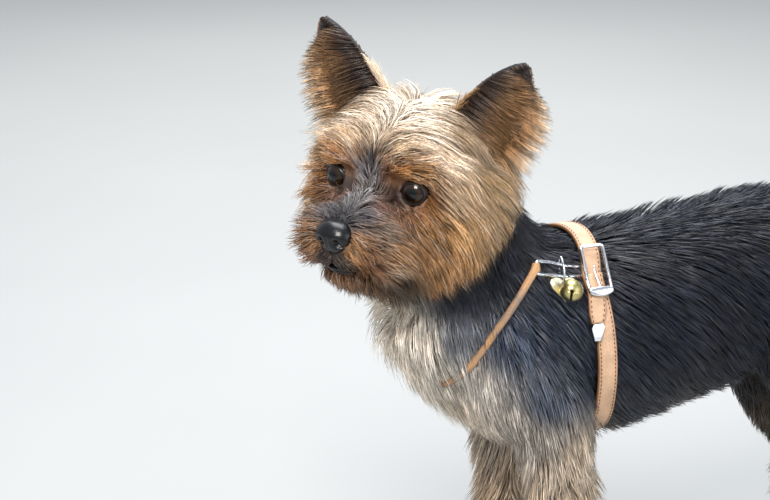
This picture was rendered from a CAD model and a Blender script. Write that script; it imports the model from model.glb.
"""The dressed Yorkshire terrier: skin, coat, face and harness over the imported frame.

Sizes are in millimetres and MM turns them into metres. Forms are given on the dog's own axes, as the
frame's solids are: the head's parts as forward, left and up from the point between the eyes, the rest
as along, outward and up.
"""

import math

import bmesh
import bpy
import numpy as np
from mathutils import Matrix, Vector
from mathutils.bvhtree import BVHTree
from mathutils.kdtree import KDTree


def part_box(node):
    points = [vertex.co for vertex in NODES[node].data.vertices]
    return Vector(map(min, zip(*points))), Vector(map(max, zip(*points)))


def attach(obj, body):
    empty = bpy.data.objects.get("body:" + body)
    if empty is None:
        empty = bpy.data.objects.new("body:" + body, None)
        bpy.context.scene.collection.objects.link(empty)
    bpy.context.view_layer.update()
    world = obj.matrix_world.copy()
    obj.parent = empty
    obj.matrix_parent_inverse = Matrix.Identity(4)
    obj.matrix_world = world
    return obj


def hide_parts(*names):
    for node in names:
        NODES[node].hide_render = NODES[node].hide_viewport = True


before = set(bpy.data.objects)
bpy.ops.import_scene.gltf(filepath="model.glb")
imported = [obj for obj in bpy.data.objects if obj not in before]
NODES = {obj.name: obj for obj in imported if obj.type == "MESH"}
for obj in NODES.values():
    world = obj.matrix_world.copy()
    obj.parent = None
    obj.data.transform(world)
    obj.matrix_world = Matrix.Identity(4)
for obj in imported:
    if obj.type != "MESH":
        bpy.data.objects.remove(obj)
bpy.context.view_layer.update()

MM = 0.001
SIDES = {"left": -1, "right": 1}
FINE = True
RANDOM = np.random.default_rng(7)
PAINTED = "coat"

# The body's skin, as the solids have it. Torso stations: place along, top, bottom and half width. Limb, neck
# and tail stations: along, sideways for the left side, height and radius. Others: a centre and radii.
TORSO = (
    (-132, 184, 165, 14),
    (-117, 197, 150, 26),
    (-92, 206, 126, 36),
    (-60, 214, 111, 41),
    (-25, 213, 113, 42.5),
    (12, 216, 120, 41.5),
    (50, 220, 128, 39),
    (86, 222.5, 135, 37),
    (113, 219, 143, 33),
    (126, 210, 156, 25),
    (133, 196, 170, 14),
)
NECK = ((-78, 0, 180, 37), (-96, -1, 203, 33), (-112, -4, 226, 29.5), (-126, -9, 250, 28))
FORELEG = (
    (-76, -30, 160, 20), (-61, -32, 122, 14), (-59, -30, 82, 10.5), (-60, -29, 42, 9), (-63, -29, 16, 9),
)
HINDLEG = (
    (96, -24, 174, 26), (87, -31, 136, 19), (107, -30, 92, 12.5), (127, -28, 60, 8.5), (122, -28, 20, 8.5),
)
SHOULDER = ((-80, -28, 160), (24, 15, 36))
THIGH = ((96, -27, 155), (25, 16, 36))
TAIL = ((121, 0, 199, 11), (137, 0, 217, 8), (150, 0, 232, 6.5), (160, 1, 249, 5), (164, 2, 265, 3.5))
PAWS = ((-67, -29), (116, -28))
TOES = ((-0.75, -2.5), (-0.26, 2), (0.26, 2), (0.75, -2.5))
LEG_TOP = 118
PAW_TOP = 22

# The head, in its own frame. Muzzle and jaw stations: forward, top, bottom and half width.
EYE_MIDDLE = Vector((-162, -22, 259))
HEAD_TURN = {"yaw": 30.0, "pitch": -5.0, "roll": -2.6}
SKULL = ((-33, 0, 3.5), (34, 31, 26))
CHEEK = ((-20, 20, -12), (25, 16, 26))
BROW = ((-9, 15, 12), (11, 12, 8))
WHISKER_PAD = ((13, 11, -23), (17, 11, 9.5))
MUZZLE = (
    (-16, 2, -36, 24), (0, -3, -35, 21), (16, -7.5, -33, 18), (28, -9.5, -31, 14.5), (34, -12, -29, 11),
)
JAW = (
    (-26, -35, -46, 19), (-6, -35.5, -47, 18), (10, -35.5, -46, 15.5), (21, -35, -43.5, 12),
    (27, -34, -40, 7),
)
MOUTH_HEIGHT = -34.6
EYE_RADIUS = 8.4
EYE_CENTRE = (-7.0, 22.8, 0)
EYE_SPREAD = 11.0
NOSE_CENTRE = (31, 0, -17.2)
EAR_BASE = (-43, 27, 17)
EAR_TIP = {-1: (-48, 61, 62), 1: (-48, 65, 65)}
EAR_FACING = {-1: (0.93, 0.25, -0.2), 1: (0.95, -0.12, -0.1)}
EAR_FAN = {-1: 1.0, 1: 1.2}
EAR_HALF_WIDTH = 20.0
EAR_INNER_SHARE = 0.7
EAR_EDGE_REACH = {-1: 0.7, 1: 1.0}
EAR_EDGE_COLOUR = {-1: (0.42, 0.24, 0.10), 1: (0.86, 0.68, 0.50)}
EAR_BROWN = {
    "root": (0.05, 0.03, 0.022),
    "middle": (0.36, 0.19, 0.08),
    "tip": (0.86, 0.66, 0.46),
    "foot": (0.52, 0.33, 0.17),
}
EAR_VELVET = (0.022, 0.023, 0.03)
EAR_CUP = 9.0

# Where the head's coat ends: a point on the plane and the way towards the head.
HEAD_PLANE = ((-47, 0, -27), (0.69, 0, 0.72))

# The harness' places that the coat has to know.
GIRTH_PLACES = (
    (-36.0, 90), (-36.0, 118), (-38.4, 138), (-40.0, 160), (-41.3, 177), (-44.0, 203), (-36.0, 223),
)
GIRTH_THICKNESS = 2.2
GIRTH_HALF_WIDTH = 5.5
GIRTH_CENTRE = 162.0
STRAP_END_ANGLES = (20.4, 48.0)
STRAP_END_WIDTH = 9.8
STRAP_END_THICKNESS = 1.8
STRAP_END_LIFT = 0.3
STRAP_END_SLIDE = -5.0
BUCKLE_ANGLES = (38.0, 63.0)
BUCKLE_HALF_WIDTH = 6.3
BUCKLE_WIRE = 0.95
COAT_UNDER_GIRTH = 3.2

# The camera, from where the photograph was taken.
LENS = 149.6
CAMERA_DISTANCE = 1600.0
CAMERA_RIGHT = Vector((0.9135, -0.4067, 0))
CAMERA_BACK = Vector((-0.391, -0.878, 0.2756))
EYES_RIGHT_OF_CENTRE = -6.5
EYES_ABOVE_CENTRE = 32.0


def head_matrix():
    """The head's own frame in millimetres on the dog's axes."""
    facing_forward = Matrix(((-1, 0, 0), (0, -1, 0), (0, 0, 1))).to_4x4()
    yaw = Matrix.Rotation(math.radians(HEAD_TURN["yaw"]), 4, "Z")
    pitch = Matrix.Rotation(math.radians(-HEAD_TURN["pitch"]), 4, "Y")
    roll = Matrix.Rotation(math.radians(HEAD_TURN["roll"]), 4, "X")
    return Matrix.Translation(EYE_MIDDLE) @ yaw @ facing_forward @ pitch @ roll


HEAD = head_matrix()
HEAD_AXES = np.array(HEAD.to_3x3())
HEAD_ZERO = np.array(HEAD.translation)


def head_at(forward, left, up):
    """A point of the head's own frame on the dog's axes."""
    return HEAD @ Vector((forward, left, up))


def head_way(forward, left, up):
    """A direction of the head's own frame on the dog's axes."""
    return (HEAD.to_3x3() @ Vector((forward, left, up))).normalized()


def frame_shift():
    """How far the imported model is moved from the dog's own axes, read off the eyes' boxes."""
    shift = Vector()
    for word, side in SIDES.items():
        low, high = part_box(f"eye_{word}")
        forward, left, up = EYE_CENTRE
        shift += ((low + high) / 2 - head_at(forward, -side * left, up) * MM) / 2
    return shift


SHIFT = frame_shift()


def placed(point):
    """A point on the dog's axes as a point of the frame."""
    return Vector(point) * MM + SHIFT


def unit(vectors):
    """The vectors made one long."""
    return vectors / np.maximum(np.linalg.norm(vectors, axis=-1, keepdims=True), 1e-9)


def to_head(points):
    """Points on the dog's axes in the head's own frame."""
    return (points - HEAD_ZERO) @ HEAD_AXES


def eased(values, low, high):
    """0 below low, 1 above high, and a smooth rise between."""
    share = np.clip((values - low) / (high - low), 0, 1)
    return share * share * (3 - 2 * share)


def between(first, second, share):
    """Colours between two, one row or grid of them for each share."""
    first, second = np.asarray(first), np.asarray(second)
    return first + (second - first) * np.asarray(share)[..., None]


def beside(points, centre, way):
    """How far the points are along a line from its centre, and how far from the line."""
    away = points - np.array(centre)
    along = away @ np.array(way)
    return along, np.linalg.norm(away - along[..., None] * np.array(way), axis=-1)


# Mesh tools. Meshes are made in millimetres on the dog's axes and placed in the frame at the end.


def add_ellipsoid(bm, centre, radii, turn=None, detail=24):
    """An ellipsoid, turned by a matrix where one is given."""
    place = Matrix.Translation(centre) @ (turn or Matrix.Identity(4)) @ Matrix.Diagonal((*radii, 1))
    bmesh.ops.create_uvsphere(bm, u_segments=detail, v_segments=detail // 2, radius=1, matrix=place)


def add_loft(bm, rings, closed=False, caps=True):
    """A loft through rings of as many points each, closed in a loop or with a cap at each end."""
    loops = [[bm.verts.new(point) for point in ring] for ring in rings]
    count = len(loops[0])
    pairs = list(zip(loops, loops[1:])) + ([(loops[-1], loops[0])] if closed else [])
    for near, far in pairs:
        for i in range(count):
            j = (i + 1) % count
            bm.faces.new((near[i], near[j], far[j], far[i]))
    if caps and not closed:
        bm.faces.new(reversed(loops[0]))
        bm.faces.new(loops[-1])
    return loops


def ring_of(centre, across, upward, half_width, half_height, squareness=2.0, count=28):
    """A round ring of points, or a squarer one with a squareness above 2."""
    ring = []
    for i in range(count):
        turn = math.tau * i / count
        c, s = math.cos(turn), math.sin(turn)
        reach = (abs(c) ** squareness + abs(s) ** squareness) ** (-1 / squareness)
        ring.append(centre + across * (half_width * reach * c) + upward * (half_height * reach * s))
    return ring


def smooth_path(points, per_span=5):
    """Points on a smooth curve through the given vectors."""
    ends = [points[0] * 2 - points[1], *points, points[-1] * 2 - points[-2]]
    path = []
    for a, b, c, d in zip(ends, ends[1:], ends[2:], ends[3:]):
        for k in range(per_span):
            t = k / per_span
            curve = (2 * a - 5 * b + 4 * c - d) * t**2 + (3 * b - a - 3 * c + d) * t**3
            path.append(0.5 * ((2 * b) + (c - a) * t + curve))
    path.append(points[-1])
    return path


def add_limb(bm, stations, side=-1):
    """A round limb through its stations, with a ball at each end."""
    path = smooth_path([Vector((x, y * -side, z, r)) for x, y, z, r in stations])
    rings = []
    for i, station in enumerate(path):
        ahead = (path[min(i + 1, len(path) - 1)] - path[max(i - 1, 0)]).xyz.normalized()
        across = ahead.cross(Vector((1, 0, 0))).normalized()
        rings.append(ring_of(station.xyz, across, ahead.cross(across), station.w, station.w))
    add_loft(bm, rings)
    for end in (path[0], path[-1]):
        add_ellipsoid(bm, end.xyz, (end.w, end.w, end.w))


def new_object(name, data):
    """An object in the scene for a mesh, a light or a camera."""
    obj = bpy.data.objects.new(name, data)
    bpy.context.scene.collection.objects.link(obj)
    return obj


def mesh_from(bm, name):
    """The mesh of a finished bmesh, its normals outward."""
    bmesh.ops.recalc_face_normals(bm, faces=bm.faces)
    mesh = bpy.data.meshes.new(name)
    bm.to_mesh(mesh)
    bm.free()
    return mesh


def applied(obj):
    """Replaces the object's mesh by the one its modifiers make."""
    bpy.context.view_layer.update()
    made = bpy.data.meshes.new_from_object(obj.evaluated_get(bpy.context.evaluated_depsgraph_get()))
    obj.modifiers.clear()
    obj.data = made


def finish_piece(obj, material, nodes=()):
    """Places a piece made on the dog's axes in the frame, and gives it its material and its body."""
    obj.data.transform(Matrix.Translation(SHIFT) @ Matrix.Scale(MM, 4))
    obj.data.materials.clear()
    obj.data.materials.append(material)
    obj.data.shade_smooth()
    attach(obj, "root")
    if nodes:
        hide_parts(*nodes)


def coordinates(mesh):
    """A mesh's vertices as rows of numbers."""
    values = np.empty(len(mesh.vertices) * 3)
    mesh.vertices.foreach_get("co", values)
    return values.reshape(-1, 3)


def set_coordinates(mesh, values):
    """Moves a mesh's vertices to the given rows."""
    mesh.vertices.foreach_set("co", np.ascontiguousarray(values, dtype=np.float32).ravel())
    mesh.update()


def paint(mesh, colours):
    """Stores a colour for each vertex."""
    layer = mesh.color_attributes.new(PAINTED, "FLOAT_COLOR", "POINT")
    rgba = np.ones((len(colours), 4), np.float32)
    rgba[:, :3] = colours
    layer.data.foreach_set("color", rgba.ravel())


# How the coat grows. Each entry: place, the way the hair lies, its length, and the depth that the coat
# has there. Head entries are in the head's frame, for the left side.
HEAD_COMB = (
    ((25, 3, -11), (-0.5, 0.75, 0.2), 9, 4),
    ((22, 9, -12), (-0.25, 0.95, -0.3), 17, 7),
    ((14, 3, -8), (-0.35, 0.5, 0.8), 15, 9),
    ((7, 3, -4), (-0.25, 0.45, 0.9), 18, 11),
    ((3, 6, 2), (-0.2, 0.45, 0.85), 9, 3.5),
    ((3, 13, 0), (-0.1, 0.3, 0.9), 5, 1.2),
    ((5, 16, -7), (-0.1, 0.5, -0.8), 6, 1.4),
    ((1, 4, 9), (-0.3, 0.4, 0.85), 17, 7),
    ((-4, 4, 18), (-0.35, 0.75, 0.6), 44, 10),
    ((-12, 4, 27), (-0.35, 0.85, 0.35), 52, 12),
    ((-28, 4, 30), (-0.2, 0.8, 0.5), 38, 15),
    ((-42, 4, 28), (-0.25, 0.35, 0.8), 24, 18),
    ((-56, 6, 20), (-0.85, 0.2, -0.4), 30, 9),
    ((-1, 12, 10), (-0.1, 0.7, 0.6), 8, 3),
    ((-2, 20, 10), (-0.1, 0.9, 0.3), 9, 3.5),
    ((-4, 21, 15), (-0.1, 0.9, 0.3), 18, 9),
    ((-8, 28, 11), (0.0, 0.95, -0.15), 28, 16),
    ((-12, 16, 25), (-0.15, 0.95, 0.05), 50, 12),
    ((-18, 27, 20), (-0.05, 0.9, -0.4), 52, 18),
    ((-34, 20, 24), (-0.1, 0.9, 0.3), 40, 16),
    ((-38, 28, 14), (0.1, 0.9, -0.2), 40, 17),
    ((-16, 33, 6), (-0.05, 0.7, -0.65), 48, 25),
    ((-6, 30, 0), (0.0, 0.6, -0.75), 14, 5),
    ((-10, 32, -3), (-0.1, 0.65, -0.7), 34, 19),
    ((-18, 35, -12), (-0.2, 0.35, -0.9), 46, 24),
    ((-4, 30, -15), (-0.25, 0.55, -0.8), 36, 21),
    ((-16, 33, -28), (-0.25, 0.15, -0.95), 44, 23),
    ((-14, 24, -40), (-0.25, 0.1, -0.95), 38, 24),
    ((9, 12, -8), (-0.1, 0.55, -0.8), 9, 3),
    ((6, 17, -12), (-0.15, 0.6, -0.75), 11, 3),
    ((0, 25, -11), (-0.2, 0.65, -0.7), 13, 4.5),
    ((2, 25, -18), (-0.35, 0.65, -0.7), 26, 12),
    ((17, 12, -17), (-0.25, 0.9, -0.25), 24, 14),
    ((20, 16, -25), (-0.15, 0.9, -0.4), 22, 17),
    ((12, 19, -29), (-0.3, 0.75, -0.6), 28, 18),
    ((28, 10, -23), (0.2, 0.85, -0.45), 13, 9),
    ((33, 4, -28), (0.35, 0.55, -0.75), 6, 3),
    ((29, 9, -31), (0.2, 0.7, -0.65), 11, 7),
    ((27, 3, -38), (0.35, 0.2, -0.85), 10, 6),
    ((20, 6, -44), (0.1, 0.15, -0.95), 13, 7),
    ((10, 14, -40), (-0.35, 0.35, -0.85), 22, 13),
    ((-2, 8, -48), (-0.2, 0.1, -0.95), 30, 20),
    ((-14, 12, -48), (-0.1, 0.1, -0.95), 32, 22),
    ((-42, 30, -4), (-0.3, 0.6, -0.75), 44, 24),
    ((-38, 24, -24), (-0.3, 0.35, -0.85), 38, 20),
    ((-62, 10, 0), (-0.6, 0.1, -0.75), 26, 8),
)
# Body entries are for either side, with y counted outward.
BODY_COMB = (
    ((-55, 4, 221), (0.9, 0.35, -0.25), 24, 7.5),
    ((10, 4, 223), (0.95, 0.3, -0.15), 23, 7.5),
    ((86, 4, 226), (0.95, 0.3, -0.1), 23, 7.5),
    ((118, 8, 212), (0.8, 0.3, -0.5), 20, 6.5),
    ((137, 6, 185), (0.3, 0.15, -0.95), 26, 8.5),
    ((-70, 46, 175), (0.5, 0.05, -0.85), 24, 7.5),
    ((-15, 48, 165), (0.72, 0.0, -0.68), 24, 7.5),
    ((50, 45, 172), (0.68, 0.0, -0.72), 24, 7.5),
    ((104, 44, 158), (0.45, 0.05, -0.9), 26, 8.0),
    ((-25, 8, 106), (0.6, 0.15, -0.7), 24, 10),
    ((45, 8, 118), (0.6, 0.15, -0.7), 22, 9),
    ((-15, 42, 122), (0.6, 0.1, -0.75), 26, 8.5),
    ((50, 40, 134), (0.6, 0.1, -0.75), 24, 8.0),
    ((-140, 3, 205), (0.0, 0.3, -1.0), 34, 19),
    ((-134, 3, 180), (0.05, 0.25, -1.0), 36, 19),
    ((-122, 3, 150), (0.15, 0.2, -1.0), 36, 18),
    ((-102, 3, 126), (0.3, 0.2, -0.95), 32, 15),
    ((-104, 30, 158), (0.2, 0.2, -0.95), 32, 11),
    ((-88, 4, 236), (0.7, 0.3, -0.65), 25, 8),
    ((-105, 35, 214), (0.35, 0.15, -0.9), 25, 8),
    ((-63, 47, 124), (0.2, 0.15, -0.95), 26, 10),
    ((-60, 40, 80), (0.12, 0.3, -0.95), 28, 14),
    ((-62, 38, 38), (0.05, 0.3, -0.95), 22, 13),
    ((-45, 30, 70), (0.65, 0.15, -0.75), 32, 19),
    ((-73, 22, 80), (-0.25, 0.1, -0.95), 24, 9),
    ((94, 47, 122), (0.5, 0.15, -0.85), 26, 7),
    ((72, 40, 118), (0.7, 0.1, -0.7), 16, 3),
    ((80, 33, 108), (0.5, 0.2, -0.85), 15, 3),
    ((93, 31, 88), (0.4, 0.2, -0.9), 15, 4),
    ((104, 30, 66), (0.3, 0.2, -0.9), 15, 5),
    ((109, 42, 90), (0.2, 0.25, -0.95), 26, 12),
    ((127, 36, 48), (0.15, 0.25, -0.97), 22, 12),
    ((135, 28, 72), (0.6, 0.15, -0.75), 28, 15),
    ((-75, 31, 12), (-0.75, 0.1, -0.5), 7, 3),
    ((109, 30, 12), (-0.75, 0.1, -0.5), 7, 3),
    ((133, 4, 214), (0.4, 0.25, 0.55), 20, 7),
    ((150, 6, 236), (0.45, 0.35, 0.5), 26, 13),
    ((164, 4, 263), (0.35, 0.2, 0.85), 24, 12),
)

# The coat's colours by place, as linear red, green and blue, on the same axes as the comb.
HEAD_MARKINGS = (
    ((27, 0, -10), (0.035, 0.035, 0.045)),
    ((20, 10, -9), (0.13, 0.12, 0.13)),
    ((18, 22, -16), (0.24, 0.16, 0.11)),
    ((13, 0, -2), (0.20, 0.19, 0.20)),
    ((8, 3, 6), (0.42, 0.39, 0.39)),
    ((3, 5, 10), (0.20, 0.18, 0.19)),
    ((2, 0, 16), (0.05, 0.048, 0.055)),
    ((0, 7, 18), (0.26, 0.15, 0.08)),
    ((1, 11, 9), (0.34, 0.14, 0.045)),
    ((1, 22, 13), (0.42, 0.19, 0.06)),
    ((-4, 34, 10), (0.50, 0.26, 0.10)),
    ((-4, 3, 28), (0.72, 0.54, 0.37)),
    ((-4, 16, 24), (0.72, 0.52, 0.33)),
    ((-12, 8, 38), (0.96, 0.82, 0.67)),
    ((-14, 28, 32), (0.95, 0.79, 0.62)),
    ((-32, 8, 44), (0.98, 0.86, 0.72)),
    ((-34, 36, 26), (0.50, 0.34, 0.20)),
    ((-50, 6, 40), (0.90, 0.74, 0.57)),
    ((-60, 5, 26), (0.48, 0.32, 0.18)),
    ((-10, 42, 18), (0.92, 0.72, 0.52)),
    ((-10, 50, 0), (0.86, 0.60, 0.36)),
    ((-10, 54, -20), (0.76, 0.45, 0.20)),
    ((-10, 48, -42), (0.62, 0.31, 0.11)),
    ((-12, 36, -60), (0.52, 0.25, 0.09)),
    ((-38, 50, -8), (0.56, 0.36, 0.18)),
    ((-35, 42, -38), (0.56, 0.34, 0.15)),
    ((8, 13, -9), (0.36, 0.19, 0.13)),
    ((7, 22, -15), (0.40, 0.22, 0.13)),
    ((0, 27, -12), (0.22, 0.095, 0.04)),
    ((3, 15, -2), (0.05, 0.022, 0.014)),
    ((-4, 34, -2), (0.32, 0.14, 0.05)),
    ((2, 38, -16), (0.50, 0.25, 0.09)),
    ((16, 30, -26), (0.46, 0.23, 0.09)),
    ((20, 34, -34), (0.52, 0.34, 0.20)),
    ((8, 40, -38), (0.46, 0.23, 0.085)),
    ((32, 14, -22), (0.38, 0.19, 0.08)),
    ((30, 22, -32), (0.30, 0.13, 0.05)),
    ((35, 4, -29), (0.06, 0.04, 0.032)),
    ((28, 0, -46), (0.30, 0.14, 0.06)),
    ((18, 10, -50), (0.16, 0.08, 0.035)),
    ((10, 24, -48), (0.10, 0.055, 0.025)),
    ((0, 24, -60), (0.12, 0.065, 0.025)),
    ((-8, 0, -66), (0.14, 0.085, 0.04)),
    ((-22, 0, -66), (0.52, 0.42, 0.32)),
    ((-64, 12, -4), (0.08, 0.075, 0.08)),
)
BODY_MARKINGS = (
    ((-88, 0, 236), (0.010, 0.013, 0.024)),
    ((-103, 38, 214), (0.012, 0.016, 0.030)),
    ((-118, 30, 196), (0.030, 0.038, 0.058)),
    ((-142, 0, 205), (0.84, 0.70, 0.55)),
    ((-140, 4, 185), (0.98, 0.86, 0.71)),
    ((-134, 0, 160), (1.0, 0.88, 0.74)),
    ((-128, 20, 172), (0.94, 0.84, 0.72)),
    ((-118, 33, 176), (0.24, 0.25, 0.29)),
    ((-114, 34, 150), (0.78, 0.71, 0.63)),
    ((-110, 0, 126), (0.98, 0.84, 0.69)),
    ((-104, 26, 128), (0.88, 0.76, 0.63)),
    ((-95, 44, 172), (0.06, 0.08, 0.13)),
    ((-70, 52, 178), (0.028, 0.038, 0.066)),
    ((-76, 52, 140), (0.13, 0.15, 0.20)),
    ((-78, 48, 118), (0.52, 0.46, 0.40)),
    ((-92, 40, 126), (0.64, 0.56, 0.49)),
    ((-55, 0, 224), (0.008, 0.011, 0.022)),
    ((-45, 50, 150), (0.020, 0.028, 0.050)),
    ((10, 0, 226), (0.008, 0.011, 0.022)),
    ((-10, 50, 165), (0.010, 0.014, 0.028)),
    ((90, 0, 229), (0.008, 0.011, 0.022)),
    ((50, 48, 170), (0.009, 0.012, 0.024)),
    ((139, 0, 185), (0.010, 0.013, 0.022)),
    ((-15, 44, 118), (0.022, 0.028, 0.042)),
    ((50, 40, 132), (0.016, 0.021, 0.034)),
    ((-20, 0, 100), (0.14, 0.12, 0.10)),
    ((45, 0, 112), (0.14, 0.11, 0.09)),
    ((-60, 46, 104), (0.66, 0.53, 0.40)),
    ((-59, 42, 70), (0.66, 0.49, 0.33)),
    ((-60, 36, 30), (0.54, 0.36, 0.20)),
    ((-71, 32, 10), (0.46, 0.29, 0.15)),
    ((101, 48, 146), (0.010, 0.013, 0.024)),
    ((99, 48, 120), (0.014, 0.018, 0.03)),
    ((90, 30, 102), (0.03, 0.028, 0.03)),
    ((100, 26, 86), (0.10, 0.07, 0.045)),
    ((111, 42, 92), (0.42, 0.27, 0.14)),
    ((127, 36, 45), (0.46, 0.30, 0.16)),
    ((113, 32, 10), (0.44, 0.28, 0.14)),
    ((133, 0, 214), (0.010, 0.012, 0.020)),
    ((157, 0, 245), (0.012, 0.014, 0.022)),
)


def mirrored(points):
    """Points with their sideways coordinate counted outward from the middle."""
    folded = points.copy()
    folded[:, 1] = np.abs(folded[:, 1])
    return folded


def shares_of(points, places, power):
    """How much each of the places counts at each of the points."""
    distance = np.linalg.norm(points[:, None, :] - places[None], axis=2)
    weights = 1 / (distance + 2.0) ** power
    return weights / weights.sum(1, keepdims=True)


def in_head(points):
    """How far each point belongs to the head, from 0 to 1."""
    point, outward = HEAD_PLANE
    local = to_head(points)
    return eased((local - np.array(point)) @ np.array(outward), -5, 4)


class Field:
    """Two tables of values by place, for the head and for the body, read smoothly between the places."""

    def __init__(self, head, body, power):
        self.head_places = np.array([entry[0] for entry in head], float)
        self.body_places = np.array([entry[0] for entry in body], float)
        self.head_values = np.array([np.hstack(entry[1:]) for entry in head], float)
        self.body_values = np.array([np.hstack(entry[1:]) for entry in body], float)
        self.power = power

    def head_at(self, points):
        """The head table's values at points on the dog's axes."""
        local = mirrored(to_head(points))
        return shares_of(local, self.head_places, self.power) @ self.head_values

    def body_at(self, points):
        """The body table's values at points on the dog's axes."""
        return shares_of(mirrored(points), self.body_places, self.power) @ self.body_values


COMB = Field(HEAD_COMB, BODY_COMB, 4)
MARKINGS = Field(HEAD_MARKINGS, BODY_MARKINGS, 5)


def marking(points):
    """The coat's colour at points on the dog's axes."""
    share = in_head(points)[:, None]
    return MARKINGS.head_at(points) * share + MARKINGS.body_at(points) * (1 - share)


def combed(points):
    """The way the hair lies at points on the dog's axes, its length, and the coat's depth."""
    share = in_head(points)[:, None]
    left = np.clip(to_head(points)[:, 1:2] / 4, -1, 1)
    outward = np.clip(points[:, 1:2] / 6, -1, 1)
    head = COMB.head_at(points)
    body = COMB.body_at(points)
    head[:, 1:2] *= left
    body[:, 1:2] *= outward
    way = unit(head[:, :3]) @ HEAD_AXES.T * share + unit(body[:, :3]) * (1 - share)
    length, depth = (head[:, 3:] * share + body[:, 3:] * (1 - share)).T
    return unit(way), length, depth


def eye_place(side):
    """The eyeball's centre and the way it looks, on the dog's axes."""
    forward, left, up = EYE_CENTRE
    spread = math.radians(EYE_SPREAD)
    look = head_way(math.cos(spread), -side * math.sin(spread), 0.04)
    return head_at(forward, -side * left, up), look


def torso_rings():
    """The torso's rings, from the breast to the rump."""
    for x, top, bottom, half in TORSO:
        middle, height = (top + bottom) / 2, (top - bottom) / 2
        yield ring_of(Vector((x, 0, middle)), Vector((0, 1, 0)), Vector((0, 0, 1)), half, height, 2.2)


def head_rings(stations, squareness=2.3):
    """Rings of the muzzle or the jaw, from the throat to the front."""
    for forward, top, bottom, half in stations:
        centre = head_at(forward, 0, (top + bottom) / 2)
        yield ring_of(centre, head_way(0, 1, 0), head_way(0, 0, 1), half, (top - bottom) / 2, squareness)


def toes_of(place, side):
    """The middles of a paw's four toes."""
    for spread, ahead in TOES:
        yield Vector((place[0] - 6 - ahead, -side * place[1] + spread * 8.5, 6))


def add_paw(bm, place, side):
    """Four toes, a heel and the pastern."""
    x, y = place[0], -side * place[1]
    for toe in toes_of(place, side):
        add_ellipsoid(bm, toe, (9.8, 3.9, 5.8))
        add_ellipsoid(bm, toe + Vector((-4.5, 0, 1.2)), (4.2, 3.6, 3.9))
    add_ellipsoid(bm, Vector((x + 3, y, 8)), (11.5, 9.5, 8))
    add_ellipsoid(bm, Vector((x + 4, y, 22)), (9, 9, 14))


def body_skin():
    """One closed skin over the whole body, from which sockets and the mouth are carved."""
    bm = bmesh.new()
    add_loft(bm, list(torso_rings()))
    add_limb(bm, NECK)
    turn = HEAD.to_quaternion().to_matrix().to_4x4()
    add_ellipsoid(bm, head_at(*SKULL[0]), SKULL[1], turn, 32)
    for side in SIDES.values():
        for (forward, left, up), radii in (CHEEK, BROW, WHISKER_PAD):
            add_ellipsoid(bm, head_at(forward, -side * left, up), radii, turn)
        for (x, y, z), radii in (SHOULDER, THIGH):
            add_ellipsoid(bm, Vector((x, -side * y, z)), radii)
        add_limb(bm, FORELEG, side)
        add_limb(bm, HINDLEG, side)
        for place in PAWS:
            add_paw(bm, place, side)
    add_loft(bm, list(head_rings(MUZZLE)))
    add_loft(bm, list(head_rings(JAW, 2.2)))
    add_limb(bm, TAIL)
    skin = new_object("skin", mesh_from(bm, "skin"))
    remesh = skin.modifiers.new("voxels", "REMESH")
    remesh.mode = "VOXEL"
    remesh.voxel_size = 1.5 if FINE else 2.2
    smooth = skin.modifiers.new("smooth", "SMOOTH")
    smooth.iterations = 4
    smooth.factor = 0.5
    applied(skin)
    carve_skin(skin.data)
    return skin


def carve_skin(mesh):
    """Sinks the eye sockets, draws the mouth's crease and flattens the soles."""
    points = coordinates(mesh)
    for side in SIDES.values():
        centre, look = eye_place(side)
        along, across = beside(points, centre, look)
        sunk = (along > 0) & (across < 12)
        depth = np.sqrt(np.maximum((EYE_RADIUS - 1.4) ** 2 - across**2, 0.0))
        wanted = np.where(across < 7.0, depth, along)
        share = 1 - eased(across, 5.8, 8.2)
        lower = np.where(sunk, share * np.maximum(along - wanted, 0), 0)
        points -= lower[:, None] * np.array(look)
    local = to_head(points)
    crease = np.exp(-(((local[:, 2] - MOUTH_HEIGHT) / 1.1) ** 2)) * eased(local[:, 0], 2, 12)
    crease *= local[:, 0] < 40
    inward = np.stack([np.full(len(points), -0.6), -np.sign(local[:, 1]) * 0.8, np.zeros(len(points))], 1)
    points += (inward @ HEAD_AXES.T) * (crease * 1.8)[:, None]
    points[:, 2] = np.maximum(points[:, 2], 0.15)
    set_coordinates(mesh, points)


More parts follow.
